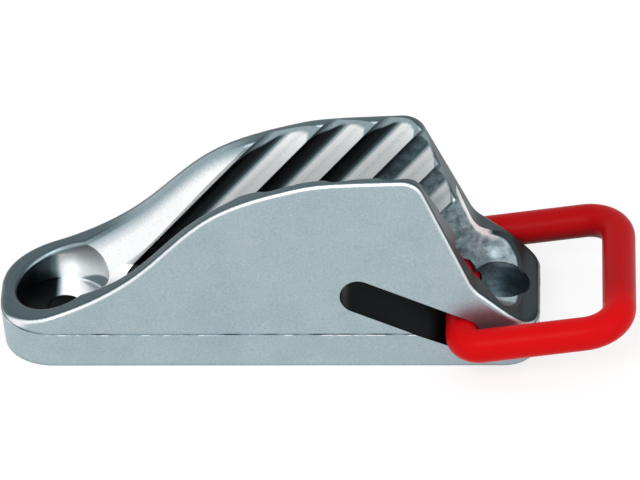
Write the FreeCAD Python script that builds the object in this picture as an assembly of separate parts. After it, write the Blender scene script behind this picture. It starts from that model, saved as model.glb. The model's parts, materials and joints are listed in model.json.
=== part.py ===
"""Jam cleat for small rope: a cast aluminium body with a ridged V channel and a red release loop in a slanting slot.

Millimetres, +Z up, X along the cleat from the load end (-X) to the tail end (+X). The origin is on the mounting
face, midway between the two screw holes. A distance is measured along X from the load end, and a setback from
the tail end.
"""

import FreeCAD
import Part
import math
import os
from FreeCAD import Vector

# Screw holes and the pockets for their heads
hole_spacing = 66.5
load_hole_setback = 9.5
tail_hole_setback = 6.0
screw_hole_diameter = 5.4
screw_floor_thickness = 3.8
load_pocket_radius = 7.1
tail_pocket_radius = 4.45

# Body outline in plan, at the parting line
load_end_width = 20.4
tail_end_width = 22.2
load_corner_radius = 8.2
tail_corner_radius = 5.6
draft_angle = 4.0

# Base flange below the parting line
flange_height = 6.25
parting_step = 0.12

# Side outline: a smooth rise, a crest, a steep back and a level pad. The points of the rise are shares of its
# length and of its height
load_lip_height = 7.25
load_lip_slope = 0.12
rise_shares = [(0.163, 0.095), (0.377, 0.372), (0.591, 0.786), (0.789, 0.95)]
crest_length = 6.9
crest_end_setback = 18.1
crest_height = 33.25
crest_slope = 0.03
crest_corner_radius = 3.6
back_foot_setback = 9.9
back_foot_height = 14.1
back_foot_radius = 6.0
tail_pad_length = 2.0
tail_pad_height = 7.3
pad_corner_radius = 3.0

# Rope channel, measured at the ridges' crests
channel_floor_height = 9.5
channel_floor_half_width = 1.5
channel_wall_start = 10.5
crest_lip_width = 1.86
outer_lip_radius = 0.9
inner_lip_radius = 0.8

# Ridges on both walls of the channel, evenly spaced. Where the walls start, the first one's crest is at a share of
# the distance to the body's crest, and the last one's is at a setback
ridge_count = 6
first_ridge_share = 0.3533
last_ridge_setback = 22.86
ridge_slope = 1.02
ridge_depth = 1.05
ridge_steep_width = 0.8
ridge_root_radius = 0.8
end_ridge_land = 0.6

# Mouth at the load end: it starts as wide as its screw pocket, narrows to a throat, and blends into the walls
# along the first ridge, at the given shares of the ridge's height
load_mouth_floor_height = 8.7
load_mouth_floor_inset = 0.9
load_mouth_wall_start = 9.0
load_mouth_lip = 3.15
throat_floor_height = 9.2
throat_half_floor = 2.6
throat_wall_start = 9.6
throat_lip = 2.4
throat_overlap = 0.6
blend_shares = [0.12, 0.52, 0.84, 1.13]
blend_floor_depth = 0.4
blend_lip = 2.1

# Mouth at the tail end, from its inner to its outer setback
tail_mouth_setbacks = (26.0, 1.0)
tail_mouth_floor_heights = (9.0, 7.7)
tail_mouth_half_floors = (3.1, 6.4)
tail_mouth_wall_starts = (10.0, 8.0)
tail_mouth_lips = (0.5, 2.9)
tail_mouth_shares = [0, 0.3, 0.55, 0.75, 0.9, 1]
tail_mouth_overlap = 1.2

# Slot for the loop: centres of its two round ends
slot_width = 5.6
slot_top_setback = 27.3
slot_top_height = 12.95
slot_bottom_setback = 11.7
slot_bottom_height = 6.05

# Loop, and the pin that joins its two ends inside the slot
loop_rod_diameter = 5.1
loop_length = 23.9
loop_leg_spacing = 28.2
loop_corner_radius = 5.3
loop_elbow_radius = 3.1
loop_rest_angle = 8.0
loop_end_gap = 0.2
loop_pin_diameter = 2.5
loop_pin_length = 12.0
loop_pin_clearance = 0.05
loop_pin_end_clearance = 0.3

# Reach of the cutting shapes past the body, and what counts as an edge of its top
reach = 12.0
groove_reach = 0.4
mouth_reach = 4.0
least_mouth_rise = 0.6
edge_tolerance = 1e-3
least_sharp_angle = math.radians(10)

body_length = load_hole_setback + hole_spacing + tail_hole_setback
load_end_x = -hole_spacing / 2 - load_hole_setback
hole_xs = (-hole_spacing / 2, hole_spacing / 2)
crest_end = body_length - crest_end_setback
crest_start = crest_end - crest_length
first_ridge = crest_start * first_ridge_share
last_ridge = body_length - last_ridge_setback
ridge_pitch = (last_ridge - first_ridge) / (ridge_count - 1)
draft = math.tan(math.radians(draft_angle))
above = crest_height + reach
beyond = tail_end_width / 2 + reach
across_y = Vector(0, 1, 0)


def place(distance, height, y=0.0):
    """Point at a distance from the load end and a height above the mounting face."""
    return Vector(load_end_x + distance, y, height)


def between(ends, share):
    """Value at a share of the way between two ends."""
    return ends[0] + (ends[1] - ends[0]) * share


def prism(points, half_width):
    """Solid between -Y and +Y whose side view is the closed chain of points."""
    side = Part.Face(Part.makePolygon(points + points[:1]))
    side.translate(across_y * -half_width)
    return side.extrude(across_y * 2 * half_width)


def rounded_edges(points, radii, closed=False):
    """Edges of a chain of straight runs with tangent arcs of the given radii at its corners."""
    count = len(points)
    edges = []
    arrivals = []
    departures = []
    for i, (corner, radius) in enumerate(zip(points, radii)):
        arrival = departure = corner
        if radius > 0 and (closed or 0 < i < count - 1):
            before = (points[i - 1] - corner).normalize()
            after = (points[(i + 1) % count] - corner).normalize()
            half = before.getAngle(after) / 2
            arrival = corner + before * (radius / math.tan(half))
            departure = corner + after * (radius / math.tan(half))
            middle = corner + (before + after).normalize() * (radius / math.sin(half) - radius)
            edges.append((2 * i, Part.Arc(arrival, middle, departure).toShape()))
        arrivals.append(arrival)
        departures.append(departure)
    for i in range(count if closed else count - 1):
        run = Part.LineSegment(departures[i], arrivals[(i + 1) % count])
        edges.append((2 * i + 1, run.toShape()))
    return [edge for order, edge in sorted(edges, key=lambda item: item[0])]


def plan_outline(inset, height):
    """Closed outline of the body in plan, drawn in by the inset."""
    load_half = load_end_width / 2 - inset
    tail_half = tail_end_width / 2 - inset
    corners = [
        place(inset, height, -load_half),
        place(body_length - inset, height, -tail_half),
        place(body_length - inset, height, tail_half),
        place(inset, height, load_half),
    ]
    load_radius = load_corner_radius - inset
    tail_radius = tail_corner_radius - inset
    return Part.Wire(rounded_edges(corners, [load_radius, tail_radius, tail_radius, load_radius], closed=True))


def wall_inset(height):
    """How far the walls stand in from the parting line's outline."""
    return parting_step + (height - flange_height) * draft


def wall_half_width(distance, height):
    """Half the body's outer width above the parting line."""
    return between((load_end_width / 2, tail_end_width / 2), distance / body_length) - wall_inset(height)


def channel_wall_lean():
    """How much the channel's half width grows per height, which leaves the crest lip's width at the crest."""
    half_top = wall_half_width(crest_end, crest_height) - crest_lip_width
    return (half_top - channel_floor_half_width) / (crest_height - channel_wall_start)


def top_edges():
    """Edges of the body's top in side view, from beyond the load end to beyond the tail end."""
    lip = place(0, load_lip_height)
    crest_from = place(crest_start, crest_height - crest_slope * crest_length)
    rise = Part.BSplineCurve()
    rise.interpolate(
        Points=[lip]
        + [place(between((0, crest_start), x), between((lip.z, crest_from.z), z)) for x, z in rise_shares]
        + [crest_from],
        InitialTangent=Vector(1, 0, load_lip_slope),
        FinalTangent=Vector(1, 0, crest_slope),
    )
    lead_in = Part.LineSegment(place(-reach, load_lip_height - reach * load_lip_slope), lip)
    chain = [
        crest_from,
        place(crest_end, crest_height),
        place(body_length - back_foot_setback, back_foot_height),
        place(body_length - tail_pad_length, tail_pad_height),
        place(body_length + reach, tail_pad_height),
    ]
    radii = [0, crest_corner_radius, back_foot_radius, pad_corner_radius, 0]
    return [lead_in.toShape(), rise.toShape()] + rounded_edges(chain, radii)


def side_face():
    """The body's side view as a face that reaches past both ends."""
    top = top_edges()
    start = top[0].Vertexes[0].Point
    end = top[-1].Vertexes[-1].Point
    below = Part.makePolygon([end, Vector(end.x, 0, 0), Vector(start.x, 0, 0), start])
    return Part.Face(Part.Wire(top + below.Edges))


def leaving_height(low, high):
    """Height at which a straight line from a low point inside the body's side view leaves it."""
    return side_face().common(Part.makeLine(low, high)).BoundBox.ZMax


def rim_height(distance):
    """Height of the body's top at a distance from the load end."""
    return leaving_height(place(distance, 0), place(distance, above))


def top_rim(shape, outer):
    """Sharp edges of the body's top: those along the outside of the walls, or those along the channel."""
    top = Part.makeCompound(top_edges())
    rim = []
    for edge in shape.Edges:
        middle = edge.valueAt((edge.FirstParameter + edge.LastParameter) / 2)
        off_top = Part.Vertex(middle.x, 0, middle.z).distToShape(top)[0]
        if off_top > edge_tolerance:
            continue
        normals = [face.normalAt(*face.Surface.parameter(middle)) for face in shape.ancestorsOfType(edge, Part.Face)]
        if normals[0].getAngle(normals[-1]) < least_sharp_angle:
            continue
        outline = plan_outline(wall_inset(middle.z), middle.z)
        at_wall = Part.Vertex(middle).distToShape(outline)[0] < outer_lip_radius / 2
        if at_wall == outer:
            rim.append(edge)
    return rim


def solid_block():
    """Body before it is cut: walls drafted inward above the parting line, and a flange drafted inward below it."""
    outlines = [plan_outline(wall_inset(height), height) for height in (flange_height, above)]
    side = side_face()
    side.translate(across_y * -beyond)
    upper = Part.makeLoft(outlines, True, True).common(side.extrude(across_y * 2 * beyond))
    upper = upper.makeFillet(outer_lip_radius, top_rim(upper, outer=True))
    flange = Part.makeLoft([plan_outline(flange_height * draft, 0), plan_outline(0, flange_height)], True, True)
    return upper.fuse(flange)


def channel_half_width(height):
    """Half the width between the ridges' crests at a height."""
    return channel_floor_half_width + (height - channel_wall_start) * channel_wall_lean()


def channel_section(distance, floor_height, half_floor, wall_start, half_top, top):
    """Closed section of the channel: a hollow floor and two straight walls."""
    low = [place(distance, wall_start, -half_floor), place(distance, wall_start, half_floor)]
    high = [place(distance, top, half_top), place(distance, top, -half_top)]
    floor = Part.Arc(low[0], place(distance, floor_height), low[1]).toShape()
    walls = Part.makePolygon([low[1], high[0], high[1], low[0]])
    return Part.Wire([floor] + walls.Edges)


def mouth_section(distance, floor_height, half_floor, wall_start, lip_width):
    """Section of a mouth, whose walls lean out to leave a lip of the given width at the body's top."""
    rim = max(rim_height(distance), wall_start + least_mouth_rise)
    lean = (wall_half_width(distance, rim) - lip_width - half_floor) / (rim - wall_start)
    top = rim + mouth_reach
    half_top = half_floor + (top - wall_start) * lean
    return channel_section(distance, floor_height, half_floor, wall_start, half_top, top)


def past_last_ridge(overlap):
    """Everything on the tail side of a slanting plane, which lies the overlap before the end of the last ridge."""
    last = ridge_count - 1
    land = end_ridge_land - overlap
    low = place(ridge_distance(last, 0) + land, 0)
    high = place(ridge_distance(last, above) + land, above)
    far = high.x + body_length
    return prism([low, high, Vector(far, 0, above), Vector(far, 0, 0)], beyond)


def straight_channel():
    """The V between the ridged walls, from the load pocket to the last ridge."""
    section = channel_section(
        load_hole_setback,
        channel_floor_height,
        channel_floor_half_width,
        channel_wall_start,
        channel_half_width(above),
        above,
    )
    return Part.Face(section).extrude(Vector(2 * body_length, 0, 0)).cut(past_last_ridge(-tail_mouth_overlap))


def ridge_distance(index, height):
    """Distance from the load end of a ridge's crest at a height."""
    return first_ridge + index * ridge_pitch + (height - channel_wall_start) / ridge_slope


def load_mouth():
    """Mouth at the load end, which opens from the load pocket up to the crest of the first ridge."""
    throat = load_hole_setback + load_pocket_radius - throat_overlap
    sections = [
        mouth_section(
            load_hole_setback,
            load_mouth_floor_height,
            load_pocket_radius - load_mouth_floor_inset,
            load_mouth_wall_start,
            load_mouth_lip,
        ),
        mouth_section(throat, throat_floor_height, throat_half_floor, throat_wall_start, throat_lip),
    ]
    low, high = [place(ridge_distance(0, z) - end_ridge_land, z) for z in (channel_wall_start, above)]
    ridge_top = leaving_height(low, high)
    for share in blend_shares:
        height = between((channel_wall_start, ridge_top), share)
        distance = ridge_distance(0, height) - end_ridge_land
        half_floor = channel_half_width(height)
        sections.append(mouth_section(distance, height - blend_floor_depth, half_floor, height, blend_lip))
    return Part.makeLoft(sections, True, False)


def tail_mouth():
    """Mouth at the tail end, which starts just past the crest of the last ridge."""
    sections = []
    for share in tail_mouth_shares:
        sections.append(
            mouth_section(
                body_length - between(tail_mouth_setbacks, share),
                between(tail_mouth_floor_heights, share),
                between(tail_mouth_half_floors, share**2),
                between(tail_mouth_wall_starts, share),
                between(tail_mouth_lips, 1 - (1 - share) ** 2),
            )
        )
    return Part.makeLoft(sections, True, False).common(past_last_ridge(0))


def ridge_grooves():
    """Slanting saw-tooth grooves on both walls: a steep face behind each crest, then a long one up to the next."""
    lean = math.atan(channel_wall_lean())
    upward = Vector(0, math.sin(lean), math.cos(lean))
    inward = Vector(0, math.cos(lean), -math.sin(lean))
    angle = math.atan(ridge_slope / math.cos(lean))
    along = Vector(math.cos(angle), 0, 0) + upward * math.sin(angle)
    across = Vector(math.sin(angle), 0, 0) - upward * math.cos(angle)
    width = ridge_pitch * math.sin(angle)
    low = place(-body_length, channel_wall_start)
    high = place(2 * body_length, above)
    keep = prism([low, Vector(high.x, 0, low.z), high, Vector(low.x, 0, high.z)], beyond)
    grooves = []
    for index in range(ridge_count - 1):
        crest = place(ridge_distance(index, flange_height), flange_height, channel_half_width(flange_height))
        profile = [
            crest - inward * groove_reach,
            crest,
            crest + across * ridge_steep_width + inward * ridge_depth,
            crest + across * width,
            crest + across * width - inward * groove_reach,
        ]
        face = Part.Face(Part.Wire(rounded_edges(profile, [0, 0, ridge_root_radius, 0, 0], closed=True)))
        groove = face.extrude(along * 2 * above).common(keep)
        grooves += [groove, groove.mirror(Vector(0, 0, 0), across_y)]
    return grooves


def slot():
    """Slanting slot through both walls."""
    top = place(body_length - slot_top_setback, slot_top_height, -beyond)
    bottom = place(body_length - slot_bottom_setback, slot_bottom_height, -beyond)
    run = (bottom - top).normalize() * (slot_width / 2)
    side = Vector(-run.z, 0, run.x)
    edges = [
        Part.LineSegment(top + side, bottom + side).toShape(),
        Part.Arc(bottom + side, bottom + run, bottom - side).toShape(),
        Part.LineSegment(bottom - side, top - side).toShape(),
        Part.Arc(top - side, top - run, top + side).toShape(),
    ]
    return Part.Face(Part.Wire(edges)).extrude(across_y * 2 * beyond)


def upright_cylinder(x, radius, height):
    """Vertical cutter from a height up to beyond the body."""
    return Part.makeCylinder(radius, above, Vector(x, 0, height))


def cleat_body():
    """The casting."""
    load_x, tail_x = hole_xs
    load_pocket = upright_cylinder(load_x, load_pocket_radius, screw_floor_thickness)
    tail_pocket = upright_cylinder(tail_x, tail_pocket_radius, screw_floor_thickness)
    screw_holes = [upright_cylinder(x, screw_hole_diameter / 2, 0) for x in hole_xs]
    body = solid_block().cut([straight_channel(), load_mouth(), load_pocket])
    body = body.makeFillet(inner_lip_radius, top_rim(body, outer=False))
    body = body.cut([tail_mouth(), tail_pocket] + screw_holes)
    return body.cut(ridge_grooves()).cut(slot())


def loop_axis_point():
    """Middle of the loop's cross-bar when it rests in the low end of the slot."""
    return place(body_length - slot_bottom_setback, slot_bottom_height)


def release_loop():
    """Round rod bent into a rectangle, with its two ends facing each other in the middle of the cross-bar."""
    tilt = math.radians(loop_rest_angle)
    middle = loop_axis_point()
    reach_out = Vector(math.cos(tilt), 0, math.sin(tilt)) * loop_length
    half = across_y * (loop_leg_spacing / 2)
    end = across_y * (loop_end_gap / 2)
    corners = [
        middle - end,
        middle - half,
        middle - half + reach_out,
        middle + half + reach_out,
        middle + half,
        middle + end,
    ]
    radii = [0, loop_elbow_radius, loop_corner_radius, loop_corner_radius, loop_elbow_radius, 0]
    path = Part.Wire(rounded_edges(corners, radii))
    rod = Part.Wire(Part.makeCircle(loop_rod_diameter / 2, corners[0], across_y))
    bore_half = loop_pin_length / 2 + loop_pin_end_clearance
    bore_radius = loop_pin_diameter / 2 + loop_pin_clearance
    bore = Part.makeCylinder(bore_radius, 2 * bore_half, middle - across_y * bore_half, across_y)
    return path.makePipeShell([rod], True, True).cut(bore)


def loop_pin():
    """Straight pin that joins the loop's two ends."""
    start = loop_axis_point() - across_y * (loop_pin_length / 2)
    return Part.makeCylinder(loop_pin_diameter / 2, loop_pin_length, start, across_y)


def main():
    os.makedirs("parts", exist_ok=True)
    parts = {"cleat_body": cleat_body(), "release_loop": release_loop(), "loop_pin": loop_pin()}
    for name, shape in parts.items():
        print(name, len(shape.Solids), "solid, valid:", shape.isValid(), "volume:", round(shape.Volume, 1), "mm3")
        shape.Solids[0].exportStep(f"parts/{name}.step")


main()
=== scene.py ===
import bpy
import json
import math
from mathutils import Matrix, Vector
from mathutils.bvhtree import BVHTree

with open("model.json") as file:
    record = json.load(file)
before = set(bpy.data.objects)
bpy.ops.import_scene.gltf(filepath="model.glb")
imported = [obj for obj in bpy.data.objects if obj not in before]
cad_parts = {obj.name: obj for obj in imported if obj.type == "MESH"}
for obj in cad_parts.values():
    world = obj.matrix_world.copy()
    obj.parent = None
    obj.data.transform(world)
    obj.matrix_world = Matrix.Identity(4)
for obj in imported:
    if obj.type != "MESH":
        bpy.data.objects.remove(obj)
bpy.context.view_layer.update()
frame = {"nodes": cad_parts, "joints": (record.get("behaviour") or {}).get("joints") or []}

# Ends of the casting, and the joints, as the frame has them. Sizes are in metres where nothing else is said
body_ends = [corner[0] for corner in frame["nodes"]["cleat_body"].bound_box]
LOAD_END_X = min(body_ends)
BODY_LENGTH = max(body_ends) - LOAD_END_X
JOINTS = {joint["name"]: joint for joint in frame["joints"]}

# Slot for the loop: its lower end's centre, its direction upwards, the run between its ends' centres, and how
# far its painted shade reaches beside that run and past it
SLOT_BOTTOM = (JOINTS["loop_swing"]["pos_m"][0], JOINTS["loop_swing"]["pos_m"][2])
SLOT_DIRECTION = (JOINTS["loop_slide"]["axis"][0], JOINTS["loop_slide"]["axis"][2])
SLOT_RUN = 0.01706
SLOT_HALF = 0.0029
SLOT_END = 0.003

# Screw holes, equally far from the origin, and their pockets: reach from the axis, heights of floors and rims
LOAD_HOLE_X = -0.03325
TAIL_HOLE_X = -LOAD_HOLE_X
HOLE_REACH = 0.0028
LOAD_POCKET_REACH = 0.0072
TAIL_POCKET_REACH = 0.004575
POCKET_FLOOR = 0.004
LOAD_POCKET_RIM = 0.0084
TAIL_POCKET_RIM = 0.0073

# Channel: its half width where the walls start, the height of that place, and how far the walls lean out.
# Outside: its half width at the load end's foot, its growth along the body, its lean inwards, and the height
# of the flange's top
CHANNEL_FLOOR_HALF = 0.0015
WALL_START = 0.0105
WALL_LEAN = 0.2432
OUTSIDE_HALF = 0.01052
OUTSIDE_SPREAD = 0.01098
OUTSIDE_LEAN = 0.0699
FLANGE_HEIGHT = 0.00625

# Ridges: foot of the first crest, the spacing, a crest's rise for each step along, and the number of valleys.
# Then the places, counted in ridges, where the painted shade in the valleys turns paler and the painted
# light on the flanks a little darker
RIDGE_FOOT = (LOAD_END_X + 0.02014, WALL_START)
RIDGE_PITCH = 0.0078
RIDGE_SLOPE = 1.02
VALLEYS = 5
PALER_VALLEYS = 3.4
DARKER_FLANKS = 4.1

# Steep back of the walls: its ends, and the gap to its edge as a share of the depth below it
BACK_START_X = 0.0218
BACK_END_X = 0.03
BACK_GAP_SHARE = 0.42

# Facet in the far wall of the load pocket: its foot, and how far it leans along the body for each step up
FACET_FOOT = (LOAD_HOLE_X + 0.0019, 0.0038)
FACET_LEAN = 1.5

# Shares of a face's direction at which tones change: inwards, up, across and outwards
INWARD = 0.15
LEVEL = 0.45
RIDGE_END_ACROSS = 0.25
SLOT_ACROSS = 0.45
LIP_ACROSS = 0.56
HIGHLIGHT_OUTWARD = (0.54, 0.845)
LOOP_REFLECTION_OUTWARD = 0.65

# Depths at which tones change: below the body's top, into a wall from the crests, in from the top's edge,
# and under the outside
CHANNEL_BELOW = 0.0008
CHANNEL_DEPTH = 0.0035
MOUTH_BELOW = 0.00125
TAIL_HIGHLIGHT_BELOW = 0.001
LIP_GAP = 0.000575
HIGHLIGHT_GAP = 0.00135
EDGE_SKIN = 0.0011

# Heights at which tones change
FOOT_SHADE_HEIGHT = 0.0003
POCKET_SHADE_HEIGHT = 0.00555
TAIL_HIGHLIGHT_HEIGHT = 0.0106
LOOP_REFLECTION_HEIGHTS = (0.0063, 0.0112)

# Parting line: its half width, how far it stays from the axes of the load hole and the tail hole, and how far
# the pale flecks are under it
LINE_HALF = 0.00009
LINE_LOAD_GAP = 0.0076
LINE_TAIL_GAP = 0.005
FLECK_DROP = 0.00016

# Levels of the noise at which the outside turns darker, the parting line fades, and its flecks begin
PATCH_LEVEL = 0.525
LINE_FADE_LEVEL = 0.48
FLECK_LEVEL = 0.53

# Places along the body at which tones change, and the one across it where the painted light on the far
# wall's paler lip begins
LOAD_FLOOR_STEPS = (LOAD_HOLE_X - 0.001, LOAD_HOLE_X + 0.0035)
TAIL_POCKET_STEP = TAIL_HOLE_X - 0.0003
LIP_STEPS = (-0.015, 0.021)
PAINTED_PALE_LIP_ENDS = (-0.024, -0.006)
STRAIGHT_SIDE_ENDS = (-0.0245, 0.0255)
BACK_HIGHLIGHT_STEP = 0.021
LOOP_REFLECTION_START = 0.02575
PAINTED_PALE_LIP_SIDE = 0.001

# The body's top is measured at even steps along it and across half of it, from a height above all of it
TOP_STEPS = 82
SIDE_STEPS = 26
SIDE_STEP = 0.0005
ABOVE_TOP = 0.035

# Tones of the casting, from 0 for black to 1 for white; besides the walls' greys, the grain and the parting
# line, they are painted light and shade that follow the form. A tone past 1 stays whiter under the grain
WALL_TONES = (0.485, 0.46)
FOOT_SHADE = 0.8
MOUTH_SHADING_TONES = (0.36, 1.0)
TAIL_MOUTH_SHADE_TONES = (0.16, 0.5)
VALLEY_SHADE_TONE = 0.004
LAST_VALLEY_SHADE_TONES = (0.11, 0.36)
LAST_FLANK_SHADE = 0.92
RIDGE_LIP_SHADE_TONE = 0.4
POCKET_SHADE = 0.8
FACET_SHADE_TONE = 0.22
LOAD_FLOOR_SHADING_TONES = (0.008, 0.95, 0.8)
TAIL_POCKET_PALER_SHADE = (0.22, 0.46)
TAIL_POCKET_DEEPER_SHADE = (0.09, 0.17)
DARK_LIP_REFLECTION_TONES = (0.105, 0.135, 0.045)
PAINTED_PALE_LIP_TONE = 0.38
HIGHLIGHT_AND_FLECK_TONE = 0.9
BACK_HIGHLIGHT_SHARE = 0.7
DARK_LINE_TONE = 0.02
DARK_LINE_SHARES = (0.75, 0.18)
SLOT_SHADE_TONE = 0.002
HOLE_SHADE_TONE = 0.006
GRAIN = (0.8, 1.2)
CAST_METALLIC = 0.85
CAST_ROUGHNESS = (0.32, 0.42)

# Painted shade and highlight across one ridge: share of the spacing from its crest, and tone
RIDGE_SHADING_TONES = [
    (0.0, 1.06),
    (0.015, 0.004),
    (0.32, 0.005),
    (0.4, 0.02),
    (0.47, 0.09),
    (0.54, 0.6),
    (0.59, 1.06),
    (0.65, 1.08),
    (0.72, 0.9),
    (0.79, 0.92),
    (0.87, 1.08),
]

# How far the lip's painted shade hangs down over one ridge: share of the spacing, and share of what its
# least hang gains
LIP_HANG = [(0.0, 1.0), (0.28, 0.5), (0.4, 0.0), (0.72, 0.0), (0.88, 0.3), (1.0, 1.0)]
LIP_HANG_LEAST = 0.0007
LIP_HANG_MORE = 0.0016

# Painted shade and light on the load pocket's wall along the body, over a stretch centred on the hole
LOAD_POCKET_SHADING_TONES = [(0.0, 0.006), (0.2, 0.02), (0.34, 0.1), (0.4, 0.3), (0.45, 1.0), (1.0, 1.0)]
LOAD_POCKET_STRETCH = 0.0162

# Colour of the metal for each tone
METAL_COLOURS = [
    (0.0, (0.004, 0.004, 0.005, 1)),
    (0.02, (0.011, 0.019, 0.022, 1)),
    (0.13, (0.088, 0.13, 0.146, 1)),
    (0.45, (0.352, 0.45, 0.485, 1)),
    (0.73, (0.69, 0.73, 0.76, 1)),
    (1.0, (0.98, 1.0, 1.0, 1)),
]
# Painted reflection of the loop on the tail end's outside: its colour and share
LOOP_REFLECTION_COLOUR = (0.1, 0.016, 0.068, 1)
LOOP_REFLECTION_SHARE = 0.4

# Loop: reds of its near leg in painted light, of the rest in painted shade and of its underside in deeper
# painted shade, its roughness and shine, and where the near leg and the underside begin. A pair is a range
# that the flow marks run through
LIT_NEAR_LEG_REDS = ((0.74, 0.0035, 0.0055, 1), (0.8, 0.005, 0.007, 1))
SHADED_REDS = ((0.49, 0.0035, 0.0055, 1), (0.55, 0.005, 0.007, 1))
UNDERSIDE_SHADE_RED = (0.17, 0.0035, 0.0055, 1)
PLASTIC_ROUGHNESS = (0.32, 0.4)
PLASTIC_SHINE = 0.06
NEAR_LEG_Y = -0.00825
UNDERSIDE = -0.05

# Greys and roughness of the pin, each a range that its grain runs through
STEEL_GREYS = ((0.55, 0.56, 0.57, 1), (0.68, 0.69, 0.7, 1))
STEEL_ROUGHNESS = (0.25, 0.4)

# Camera, as fitted to the photograph: angles in degrees, distance, the width that it sees, its sensor in
# millimetres, the photograph's size in pixels, and the pixel at which the frame's origin is
CAMERA_AZIMUTH = 2.625
CAMERA_ELEVATION = 37.14
CAMERA_ROLL = -2.05
CAMERA_DISTANCE = 1.2
CAMERA_WIDTH = 0.0976
SENSOR_WIDTH = 36.0
PHOTO_SIZE = (640, 480)
ORIGIN_PIXEL = (283.3, 324.07)

# Light: the world's strength as light and as a background, the floor's grey for light and where it is seen,
# its glow there and its half width, and the point that the lamps face
WORLD_STRENGTHS = (0.6, 1.0)
FLOOR_GREY = (0.8, 0.8, 0.8, 1)
SEEN_FLOOR_GREY = (0.4, 0.4, 0.4, 1)
SEEN_FLOOR_GLOW = 0.72
FLOOR_HALF = 3.0
LIGHT_TARGET = Vector((0.0, 0.0, 0.012))


class Nodes:
    """A material's node tree, with short calls for the maths that its masks need."""

    def __init__(self, name):
        self.material = bpy.data.materials.new(name)
        self.material.use_nodes = True
        self.tree = self.material.node_tree
        self.shader = self.tree.nodes["Principled BSDF"]
        self.coordinates = self.tree.nodes.new("ShaderNodeTexCoord")
        self.x, self.y, self.z = self.split("Object")
        self.ny, self.nz = self.split("Normal")[1:]

    def split(self, output):
        node = self.tree.nodes.new("ShaderNodeSeparateXYZ")
        self.tree.links.new(self.coordinates.outputs[output], node.inputs[0])
        return node.outputs

    def put(self, socket, value):
        if isinstance(value, bpy.types.NodeSocket):
            self.tree.links.new(value, socket)
        else:
            socket.default_value = value

    def math(self, operation, *values):
        node = self.tree.nodes.new("ShaderNodeMath")
        node.operation = operation
        for socket, value in zip(node.inputs, values):
            self.put(socket, value)
        return node.outputs[0]

    def plus(self, first, second):
        return self.math("ADD", first, second)

    def minus(self, first, second):
        return self.math("SUBTRACT", first, second)

    def times(self, first, *others):
        for other in others:
            first = self.math("MULTIPLY", first, other)
        return first

    def scaled(self, value, slope, start):
        """The value times the slope, plus the start."""
        return self.math("MULTIPLY_ADD", value, slope, start)

    def ramp(self, value, low, high):
        """Smooth from 0 at low to 1 at high; high may be the smaller."""
        node = self.tree.nodes.new("ShaderNodeMapRange")
        node.interpolation_type = "SMOOTHSTEP"
        for socket, number in zip(list(node.inputs)[:5], (value, low, high, 0.0, 1.0)):
            self.put(socket, number)
        return node.outputs[0]

    def above(self, value, edge, soft):
        """1 where the value is above the edge and 0 where it is below, smooth over soft to either side."""
        return self.ramp(value, edge - soft, edge + soft)

    def under(self, value, edge, soft):
        """1 where the value is below the edge and 0 where it is above, smooth over soft to either side."""
        return self.ramp(value, edge + soft, edge - soft)

    def along(self, origin, direction):
        """Distance from an origin along a direction, both given as X and Z."""
        along_x = self.scaled(self.x, direction[0], -origin[0] * direction[0])
        return self.plus(along_x, self.scaled(self.z, direction[1], -origin[1] * direction[1]))

    def distance(self, x):
        """Distance from the upright line at an X on the middle plane."""
        away = self.minus(self.x, x)
        return self.math("SQRT", self.plus(self.times(away, away), self.times(self.y, self.y)))

    def noise(self, scale, detail=2.0, roughness=0.5):
        node = self.tree.nodes.new("ShaderNodeTexNoise")
        node.inputs["Scale"].default_value = scale
        node.inputs["Detail"].default_value = detail
        node.inputs["Roughness"].default_value = roughness
        self.tree.links.new(self.coordinates.outputs["Object"], node.inputs["Vector"])
        return node.outputs[0]

    def height(self, share, points):
        """A height read from a chain of points, each a share of the length and a height."""
        node = self.tree.nodes.new("ShaderNodeFloatCurve")
        chain = node.mapping.curves[0]
        while len(chain.points) < len(points):
            chain.points.new(0.5, 0.5)
        for point, (place, height) in zip(chain.points, points):
            point.location = (place, height / ABOVE_TOP)
            point.handle_type = "VECTOR"
        node.mapping.update()
        self.put(node.inputs["Value"], share)
        return self.times(node.outputs[0], ABOVE_TOP)

    def colours(self, value, stops):
        """Colours along a value from 0 to 1."""
        node = self.tree.nodes.new("ShaderNodeValToRGB")
        ramp = node.color_ramp
        while len(ramp.elements) < len(stops):
            ramp.elements.new(1.0)
        for element, (place, colour) in zip(ramp.elements, stops):
            element.position = place
            element.color = colour
        self.put(node.inputs[0], value)
        return node.outputs[0]

    def greys(self, value, stops):
        """Grey tones along a value from 0 to 1."""
        return self.colours(value, [(place, (tone, tone, tone, 1)) for place, tone in stops])

    def mix(self, share, low, high):
        """Colours mixed by a share."""
        node = self.tree.nodes.new("ShaderNodeMix")
        node.data_type = "RGBA"
        self.put(node.inputs[0], share)
        self.put(node.inputs[6], low)
        self.put(node.inputs[7], high)
        return node.outputs[2]

    def blend(self, share, low, high):
        """Numbers mixed by a share."""
        node = self.tree.nodes.new("ShaderNodeMix")
        node.data_type = "FLOAT"
        self.put(node.inputs[0], share)
        self.put(node.inputs[2], low)
        self.put(node.inputs[3], high)
        return node.outputs[0]

    def bump(self, height, distance, strength):
        node = self.tree.nodes.new("ShaderNodeBump")
        node.inputs["Strength"].default_value = strength
        node.inputs["Distance"].default_value = distance
        self.tree.links.new(height, node.inputs["Height"])
        self.tree.links.new(node.outputs[0], self.shader.inputs["Normal"])


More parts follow.
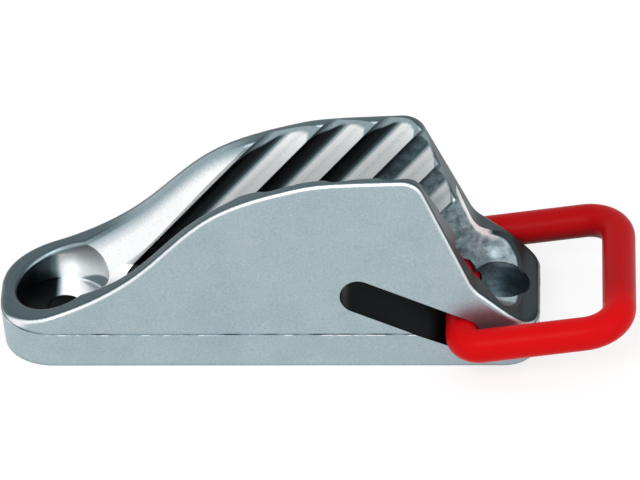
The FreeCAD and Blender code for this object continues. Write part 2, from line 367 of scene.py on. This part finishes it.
class CastingNodes(Nodes):
    """The casting's nodes, with the measures that its tones are laid out by."""

    def __init__(self, name):
        super().__init__(name)
        self.patches = self.noise(scale=160.0, detail=3.0, roughness=0.55)
        self.mottle = self.above(self.noise(scale=620.0, detail=4.0, roughness=0.65), 0.5, soft=0.2)
        self.outward = self.times(self.math("SIGN", self.y), self.ny)
        self.across = self.math("ABSOLUTE", self.ny)
        self.load_far = self.distance(LOAD_HOLE_X)
        self.tail_far = self.distance(TAIL_HOLE_X)

        # Depth into a wall from the crests' plane, and depth under the outside's plane
        side = self.math("ABSOLUTE", self.y)
        crest_half = self.scaled(self.z, WALL_LEAN, CHANNEL_FLOOR_HALF - WALL_START * WALL_LEAN)
        outside_half = self.plus(self.along((LOAD_END_X, 0.0), (OUTSIDE_SPREAD, -OUTSIDE_LEAN)), OUTSIDE_HALF)
        self.depth = self.minus(side, crest_half)
        self.skin = self.minus(outside_half, side)

        # Height below the body's top, and the gap to the top's edge, which is less on the steep back
        share = self.scaled(self.x, 1.0 / BODY_LENGTH, -LOAD_END_X / BODY_LENGTH)
        self.below = self.minus(self.height(share, body_top()), self.z)
        back = self.times(
            self.above(self.x, BACK_START_X, soft=0.0006),
            self.under(self.x, BACK_END_X, soft=0.0006),
        )
        self.top_gap = self.times(self.below, self.blend(back, 1.0, BACK_GAP_SHARE))

        # Place among the ridges: 0 at the first crest, 1 at the next, and so on
        past_crest = self.along(RIDGE_FOOT, (1.0, -1.0 / RIDGE_SLOPE))
        self.ridge = self.times(past_crest, 1.0 / RIDGE_PITCH)
        self.past_mouth = self.above(self.ridge, 0.0, soft=0.005)
        self.past_ridges = self.above(self.ridge, VALLEYS + 0.01, soft=0.02)

    def mottled(self, tones):
        """Two tones mixed in small patches."""
        return self.blend(self.mottle, *tones)


def body_top():
    """Heights of the body's top along it, found by looking straight down on its mesh."""
    mesh = frame["nodes"]["cleat_body"].data
    corners = [point.co for point in mesh.vertices]
    surface = BVHTree.FromPolygons(corners, [face.vertices for face in mesh.polygons])
    heights = []
    for step in range(TOP_STEPS):
        share = (step + 0.5) / TOP_STEPS
        x = LOAD_END_X + share * BODY_LENGTH
        starts = [Vector((x, side * SIDE_STEP, ABOVE_TOP)) for side in range(SIDE_STEPS)]
        hits = [surface.ray_cast(start, Vector((0, 0, -1)))[0] for start in starts]
        heights.append((share, max(hit.z for hit in hits if hit)))
    return heights


def outside_tone(n):
    """Even grey, a little darker along the bottom edge."""
    tone = n.blend(n.above(n.patches, PATCH_LEVEL, soft=0.175), *WALL_TONES)
    return n.times(tone, n.blend(n.above(n.z, FOOT_SHADE_HEIGHT, soft=0.0002), FOOT_SHADE, 1.0))


def inside_mask(n):
    """Faces of the channel: those that look inwards, its floor, and the ridges' faces along the body."""
    inward = n.above(n.times(n.outward, -1.0), INWARD, soft=0.1)
    level = n.times(n.above(n.nz, LEVEL, soft=0.15), n.above(n.below, CHANNEL_BELOW, soft=0.0002))
    ridge_end = n.under(n.across, RIDGE_END_ACROSS, soft=0.1)
    ridge_end = n.times(ridge_end, n.minus(n.past_mouth, n.past_ridges))
    near_channel = n.under(n.depth, CHANNEL_DEPTH, soft=0.0005)
    return n.math("MAXIMUM", inward, n.times(n.math("MAXIMUM", level, ridge_end), near_channel))


def ridge_shading(n):
    """Painted shade in black valleys and painted light on bright flanks, paler towards the tail end, under a
    lip of painted shade that hangs over each crest.
    """
    phase = n.math("FRACT", n.ridge)
    least = n.blend(n.above(n.ridge, PALER_VALLEYS, soft=1.3), VALLEY_SHADE_TONE, n.mottled(LAST_VALLEY_SHADE_TONES))
    tone = n.math("MAXIMUM", n.greys(phase, RIDGE_SHADING_TONES), least)
    tone = n.times(tone, n.blend(n.above(n.ridge, DARKER_FLANKS, soft=0.4), 1.0, LAST_FLANK_SHADE))
    hang = n.scaled(n.greys(phase, LIP_HANG), LIP_HANG_MORE, LIP_HANG_LEAST)
    return n.blend(n.above(n.minus(hang, n.below), 0.0, soft=0.0003), tone, RIDGE_LIP_SHADE_TONE)


def channel_shading(n):
    """Painted light and shade in the channel: the load end's mouth, painted bright below its lip, then the
    ridges, then the tail end's mottled mouth in painted shade with a painted highlight along its top edge.
    """
    mouth = n.blend(n.above(n.below, MOUTH_BELOW, soft=0.00115), *MOUTH_SHADING_TONES)
    # Painted highlight along the tail end's top edge
    tail_edge_highlight = n.times(
        n.under(n.below, TAIL_HIGHLIGHT_BELOW, soft=0.0006),
        n.above(n.z, TAIL_HIGHLIGHT_HEIGHT, soft=0.0024),
    )
    tail_mouth = n.plus(n.mottled(TAIL_MOUTH_SHADE_TONES), tail_edge_highlight)
    return n.blend(n.past_ridges, n.blend(n.past_mouth, mouth, ridge_shading(n)), tail_mouth)


def load_pocket(n, tone):
    """Pocket of the load end in painted shade and light: black on its outer side and bright past the hole, up
    to a grey facet in painted shade, and the hole painted black.
    """
    stretch_start = LOAD_HOLE_X - LOAD_POCKET_STRETCH / 2
    share = n.scaled(n.x, 1.0 / LOAD_POCKET_STRETCH, -stretch_start / LOAD_POCKET_STRETCH)
    pocket = n.greys(share, LOAD_POCKET_SHADING_TONES)
    pocket = n.times(pocket, n.blend(n.above(n.z, POCKET_SHADE_HEIGHT, soft=0.00195), POCKET_SHADE, 1.0))
    past_facet = n.along(FACET_FOOT, (1.0, -FACET_LEAN))
    pocket = n.blend(n.above(past_facet, 0.0, soft=0.0004), pocket, FACET_SHADE_TONE)
    outer_tone, middle_tone, inner_tone = LOAD_FLOOR_SHADING_TONES
    floor_tone = n.blend(n.above(n.x, LOAD_FLOOR_STEPS[0], soft=0.0006), outer_tone, middle_tone)
    floor_tone = n.blend(n.above(n.x, LOAD_FLOOR_STEPS[1], soft=0.0005), floor_tone, inner_tone)
    pocket = n.blend(n.under(n.z, POCKET_FLOOR, soft=0.0001), pocket, floor_tone)
    # Painted shade: the screw hole is painted near black
    pocket = n.blend(n.under(n.load_far, HOLE_REACH, soft=0.0001), pocket, HOLE_SHADE_TONE)
    in_pocket = n.times(
        n.under(n.load_far, LOAD_POCKET_REACH, soft=0.00005),
        n.under(n.z, LOAD_POCKET_RIM, soft=0.0002),
    )
    return n.blend(in_pocket, tone, pocket)


def tail_pocket(n, tone):
    """Pocket of the tail end: mottled, in painted shade that is paler on the side of the channel."""
    outer_side = n.above(n.x, TAIL_POCKET_STEP, soft=0.0013)
    pocket = n.blend(outer_side, n.mottled(TAIL_POCKET_PALER_SHADE), n.mottled(TAIL_POCKET_DEEPER_SHADE))
    in_pocket = n.times(
        n.under(n.tail_far, TAIL_POCKET_REACH, soft=0.000075),
        n.under(n.z, TAIL_POCKET_RIM, soft=0.0003),
    )
    return n.blend(in_pocket, tone, pocket)


def painted_dark_lips(n, tone):
    """Painted dark reflection on the lips along the body's top, darkest on the steep back, and painted light
    making the far wall's lip paler on its rise.
    """
    load_tone, middle_tone, back_tone = DARK_LIP_REFLECTION_TONES
    lip_tone = n.blend(n.above(n.x, LIP_STEPS[0], soft=0.015), load_tone, middle_tone)
    lip_tone = n.blend(n.above(n.x, LIP_STEPS[1], soft=0.009), lip_tone, back_tone)
    # Painted light: the far wall's lip is painted paler along its rise
    painted_pale_lip = n.times(
        n.above(n.skin, EDGE_SKIN, soft=0.0003),
        n.above(n.y, PAINTED_PALE_LIP_SIDE, soft=0.001),
        n.above(n.x, PAINTED_PALE_LIP_ENDS[0], soft=0.004),
        n.under(n.x, PAINTED_PALE_LIP_ENDS[1], soft=0.003),
    )
    lip_tone = n.blend(painted_pale_lip, lip_tone, PAINTED_PALE_LIP_TONE)
    on_lip = n.times(
        n.under(n.top_gap, LIP_GAP, soft=0.000125),
        n.under(n.across, LIP_ACROSS, soft=0.1),
    )
    return n.blend(on_lip, tone, lip_tone)


def painted_edge_highlight(n, tone):
    """Painted highlight: a bright line on the rounding between the outside and the lip, weaker on the
    steep back.
    """
    off_outside = n.times(
        n.above(n.skin, EDGE_SKIN, soft=0.0002),
        n.above(n.x, STRAIGHT_SIDE_ENDS[0], soft=0.0015),
        n.under(n.x, STRAIGHT_SIDE_ENDS[1], soft=0.0015),
    )
    on_highlight = n.times(
        n.above(n.outward, HIGHLIGHT_OUTWARD[0], soft=0.14),
        n.under(n.outward, HIGHLIGHT_OUTWARD[1], soft=0.085),
        n.under(n.top_gap, HIGHLIGHT_GAP, soft=0.00025),
        n.minus(1.0, off_outside),
        n.blend(n.above(n.x, BACK_HIGHLIGHT_STEP, soft=0.002), 1.0, BACK_HIGHLIGHT_SHARE),
    )
    return n.blend(on_highlight, tone, HIGHLIGHT_AND_FLECK_TONE)


def slot_mask(n):
    """Walls of the slot, which face along the body or up and down."""
    up_slot = n.along(SLOT_BOTTOM, SLOT_DIRECTION)
    off_axis = n.along(SLOT_BOTTOM, (-SLOT_DIRECTION[1], SLOT_DIRECTION[0]))
    return n.times(
        n.under(n.math("ABSOLUTE", off_axis), SLOT_HALF, soft=0.00004),
        n.above(up_slot, -SLOT_END, soft=0.0001),
        n.under(up_slot, SLOT_RUN + SLOT_END, soft=0.0001),
        n.under(n.across, SLOT_ACROSS, soft=0.15),
    )


def parting_line(n, tone, in_slot):
    """Fine dark line with pale flecks under it, on the outside only."""
    outside = n.times(
        n.above(n.load_far, LINE_LOAD_GAP, soft=0.0002),
        n.above(n.tail_far, LINE_TAIL_GAP, soft=0.0002),
        n.minus(1.0, in_slot),
    )

    def line_at(height):
        off_line = n.math("ABSOLUTE", n.minus(n.z, height))
        return n.times(n.under(off_line, LINE_HALF, soft=0.00004), outside)

    strength = n.blend(n.above(n.noise(scale=260.0), LINE_FADE_LEVEL, soft=0.1), *DARK_LINE_SHARES)
    tone = n.blend(n.times(line_at(FLANGE_HEIGHT), strength), tone, DARK_LINE_TONE)
    flecks = n.above(n.noise(scale=700.0), FLECK_LEVEL, soft=0.07)
    return n.blend(n.times(line_at(FLANGE_HEIGHT - FLECK_DROP), flecks), tone, HIGHLIGHT_AND_FLECK_TONE)


def painted_loop_reflection(n, colour):
    """Painted reflection of the loop, faint and low on the outside of the tail end."""
    painted_reflection = n.times(
        n.above(n.z, LOOP_REFLECTION_HEIGHTS[0], soft=0.0001),
        n.under(n.z, LOOP_REFLECTION_HEIGHTS[1], soft=0.002),
        n.above(n.x, LOOP_REFLECTION_START, soft=0.00225),
        n.above(n.outward, LOOP_REFLECTION_OUTWARD, soft=0.15),
        LOOP_REFLECTION_SHARE,
    )
    return n.mix(painted_reflection, colour, LOOP_REFLECTION_COLOUR)


def cast_metal():
    """Satin cast aluminium, grey outside. Painted light and shade follow the form: a painted highlight
    along the outer edges, painted dark lips, painted light on the ridged walls with painted shade in black
    valleys, painted shade in the load pocket, and a mottled tail end in painted shade."""
    n = CastingNodes("cast_metal")
    tone = n.blend(inside_mask(n), outside_tone(n), channel_shading(n))
    tone = tail_pocket(n, load_pocket(n, tone))
    tone = painted_edge_highlight(n, painted_dark_lips(n, tone))
    in_slot = slot_mask(n)
    # Painted shade: the slot's walls are painted near black
    tone = n.blend(in_slot, tone, SLOT_SHADE_TONE)
    tone = parting_line(n, tone, in_slot)
    grain = n.noise(scale=3600.0, detail=1.0, roughness=0.6)
    tone = n.times(tone, n.blend(grain, *GRAIN))
    n.put(n.shader.inputs["Base Color"], painted_loop_reflection(n, n.colours(tone, METAL_COLOURS)))
    n.shader.inputs["Metallic"].default_value = CAST_METALLIC
    n.put(n.shader.inputs["Roughness"], n.blend(n.patches, *CAST_ROUGHNESS))
    n.bump(n.noise(scale=3000.0, roughness=0.6), distance=0.00002, strength=0.4)
    return n.material


def red_plastic():
    """Smooth moulded red plastic with faint flow marks, brightest on the near leg in painted light and dark
    underneath in painted shade.
    """
    n = Nodes("red_plastic")
    flow = n.noise(scale=70.0, detail=3.0)
    shaded_rest = n.mix(n.under(n.nz, UNDERSIDE, soft=0.5), n.mix(flow, *SHADED_REDS), UNDERSIDE_SHADE_RED)
    lit_near_leg = n.under(n.y, NEAR_LEG_Y, soft=0.00375)
    n.put(n.shader.inputs["Base Color"], n.mix(lit_near_leg, shaded_rest, n.mix(flow, *LIT_NEAR_LEG_REDS)))
    n.put(n.shader.inputs["Roughness"], n.blend(flow, *PLASTIC_ROUGHNESS))
    n.shader.inputs["Specular IOR Level"].default_value = PLASTIC_SHINE
    n.bump(n.noise(scale=350.0), distance=0.00003, strength=0.3)
    return n.material


def pin_steel():
    """Drawn steel with a fine grain."""
    n = Nodes("pin_steel")
    grain = n.noise(scale=2500.0)
    n.put(n.shader.inputs["Base Color"], n.mix(grain, *STEEL_GREYS))
    n.shader.inputs["Metallic"].default_value = 1.0
    n.put(n.shader.inputs["Roughness"], n.blend(grain, *STEEL_ROUGHNESS))
    return n.material


def dress(node, material):
    mesh = frame["nodes"][node].data
    mesh.materials.clear()
    mesh.materials.append(material)


def area_light(name, energy, size, at):
    light = bpy.data.lights.new(name, "AREA")
    light.energy = energy
    light.size = size
    holder = bpy.data.objects.new(name, light)
    bpy.context.collection.objects.link(holder)
    holder.location = at
    holder.rotation_euler = (LIGHT_TARGET - Vector(at)).to_track_quat("-Z", "Y").to_euler()


def seen_rays(tree):
    """Share that is 1 for what the camera, reflections and clear things see, 0 for soft light."""
    rays = tree.nodes.new("ShaderNodeLightPath")
    seen = rays.outputs["Is Camera Ray"]
    for kind in ("Is Glossy Ray", "Is Transmission Ray"):
        either = tree.nodes.new("ShaderNodeMath")
        either.operation = "MAXIMUM"
        tree.links.new(seen, either.inputs[0])
        tree.links.new(rays.outputs[kind], either.inputs[1])
        seen = either.outputs[0]
    return seen


def plain_world():
    """Soft even light, white as a background."""
    world = bpy.data.worlds.new("studio")
    bpy.context.scene.world = world
    world.use_nodes = True
    tree = world.node_tree
    tree.nodes.clear()
    strength = tree.nodes.new("ShaderNodeMapRange")
    strength.inputs["To Min"].default_value, strength.inputs["To Max"].default_value = WORLD_STRENGTHS
    tree.links.new(seen_rays(tree), strength.inputs["Value"])
    light = tree.nodes.new("ShaderNodeBackground")
    light.inputs["Color"].default_value = (1, 1, 1, 1)
    tree.links.new(strength.outputs[0], light.inputs["Strength"])
    out = tree.nodes.new("ShaderNodeOutputWorld")
    tree.links.new(light.outputs[0], out.inputs[0])


def floor_material():
    """Pale grey that shows white where it is seen, and keeps a faint shadow."""
    n = Nodes("floor")
    seen = seen_rays(n.tree)
    n.put(n.shader.inputs["Base Color"], n.mix(seen, FLOOR_GREY, SEEN_FLOOR_GREY))
    n.put(n.shader.inputs["Emission Strength"], n.times(seen, SEEN_FLOOR_GLOW))
    n.shader.inputs["Emission Color"].default_value = (1, 1, 1, 1)
    n.shader.inputs["Roughness"].default_value = 1.0
    n.shader.inputs["Specular IOR Level"].default_value = 0.0
    return n.material


def floor():
    corners = [(-FLOOR_HALF, -FLOOR_HALF, 0), (FLOOR_HALF, -FLOOR_HALF, 0)]
    corners += [(FLOOR_HALF, FLOOR_HALF, 0), (-FLOOR_HALF, FLOOR_HALF, 0)]
    mesh = bpy.data.meshes.new("floor")
    mesh.from_pydata(corners, [], [(0, 1, 2, 3)])
    mesh.materials.append(floor_material())
    plane = bpy.data.objects.new("floor", mesh)
    bpy.context.collection.objects.link(plane)


def camera():
    """The photograph's view: from the near side and well above it, with a long lens."""
    azimuth, elevation = math.radians(CAMERA_AZIMUTH), math.radians(CAMERA_ELEVATION)
    level = Vector((math.sin(azimuth), -math.cos(azimuth), 0.0))
    back = level * math.cos(elevation) + Vector((0.0, 0.0, math.sin(elevation)))
    right = Vector((math.cos(azimuth), math.sin(azimuth), 0.0))
    turn = Matrix.Rotation(math.radians(CAMERA_ROLL), 3, back)
    right, up = turn @ right, turn @ back.cross(right)
    lens = bpy.data.cameras.new("camera")
    lens.sensor_width = SENSOR_WIDTH
    lens.lens = SENSOR_WIDTH * CAMERA_DISTANCE / CAMERA_WIDTH
    lens.clip_start = 0.01
    lens.clip_end = 20.0
    holder = bpy.data.objects.new("camera", lens)
    bpy.context.collection.objects.link(holder)
    pixel = CAMERA_WIDTH / PHOTO_SIZE[0]
    centre = right * (PHOTO_SIZE[0] / 2 - ORIGIN_PIXEL[0]) * pixel
    centre += up * (ORIGIN_PIXEL[1] - PHOTO_SIZE[1] / 2) * pixel
    rotation = Matrix((right, up, back)).transposed().to_4x4()
    holder.matrix_world = Matrix.Translation(centre + back * CAMERA_DISTANCE) @ rotation
    bpy.context.scene.camera = holder


dress("cleat_body", cast_metal())
dress("release_loop", red_plastic())
dress("loop_pin", pin_steel())
plain_world()
floor()
camera()
area_light("key", energy=3.5, size=0.5, at=(-0.25, -0.75, 0.9))
area_light("fill", energy=1.0, size=0.5, at=(0.6, -0.5, 0.5))
bpy.context.scene.view_settings.view_transform = "Standard"
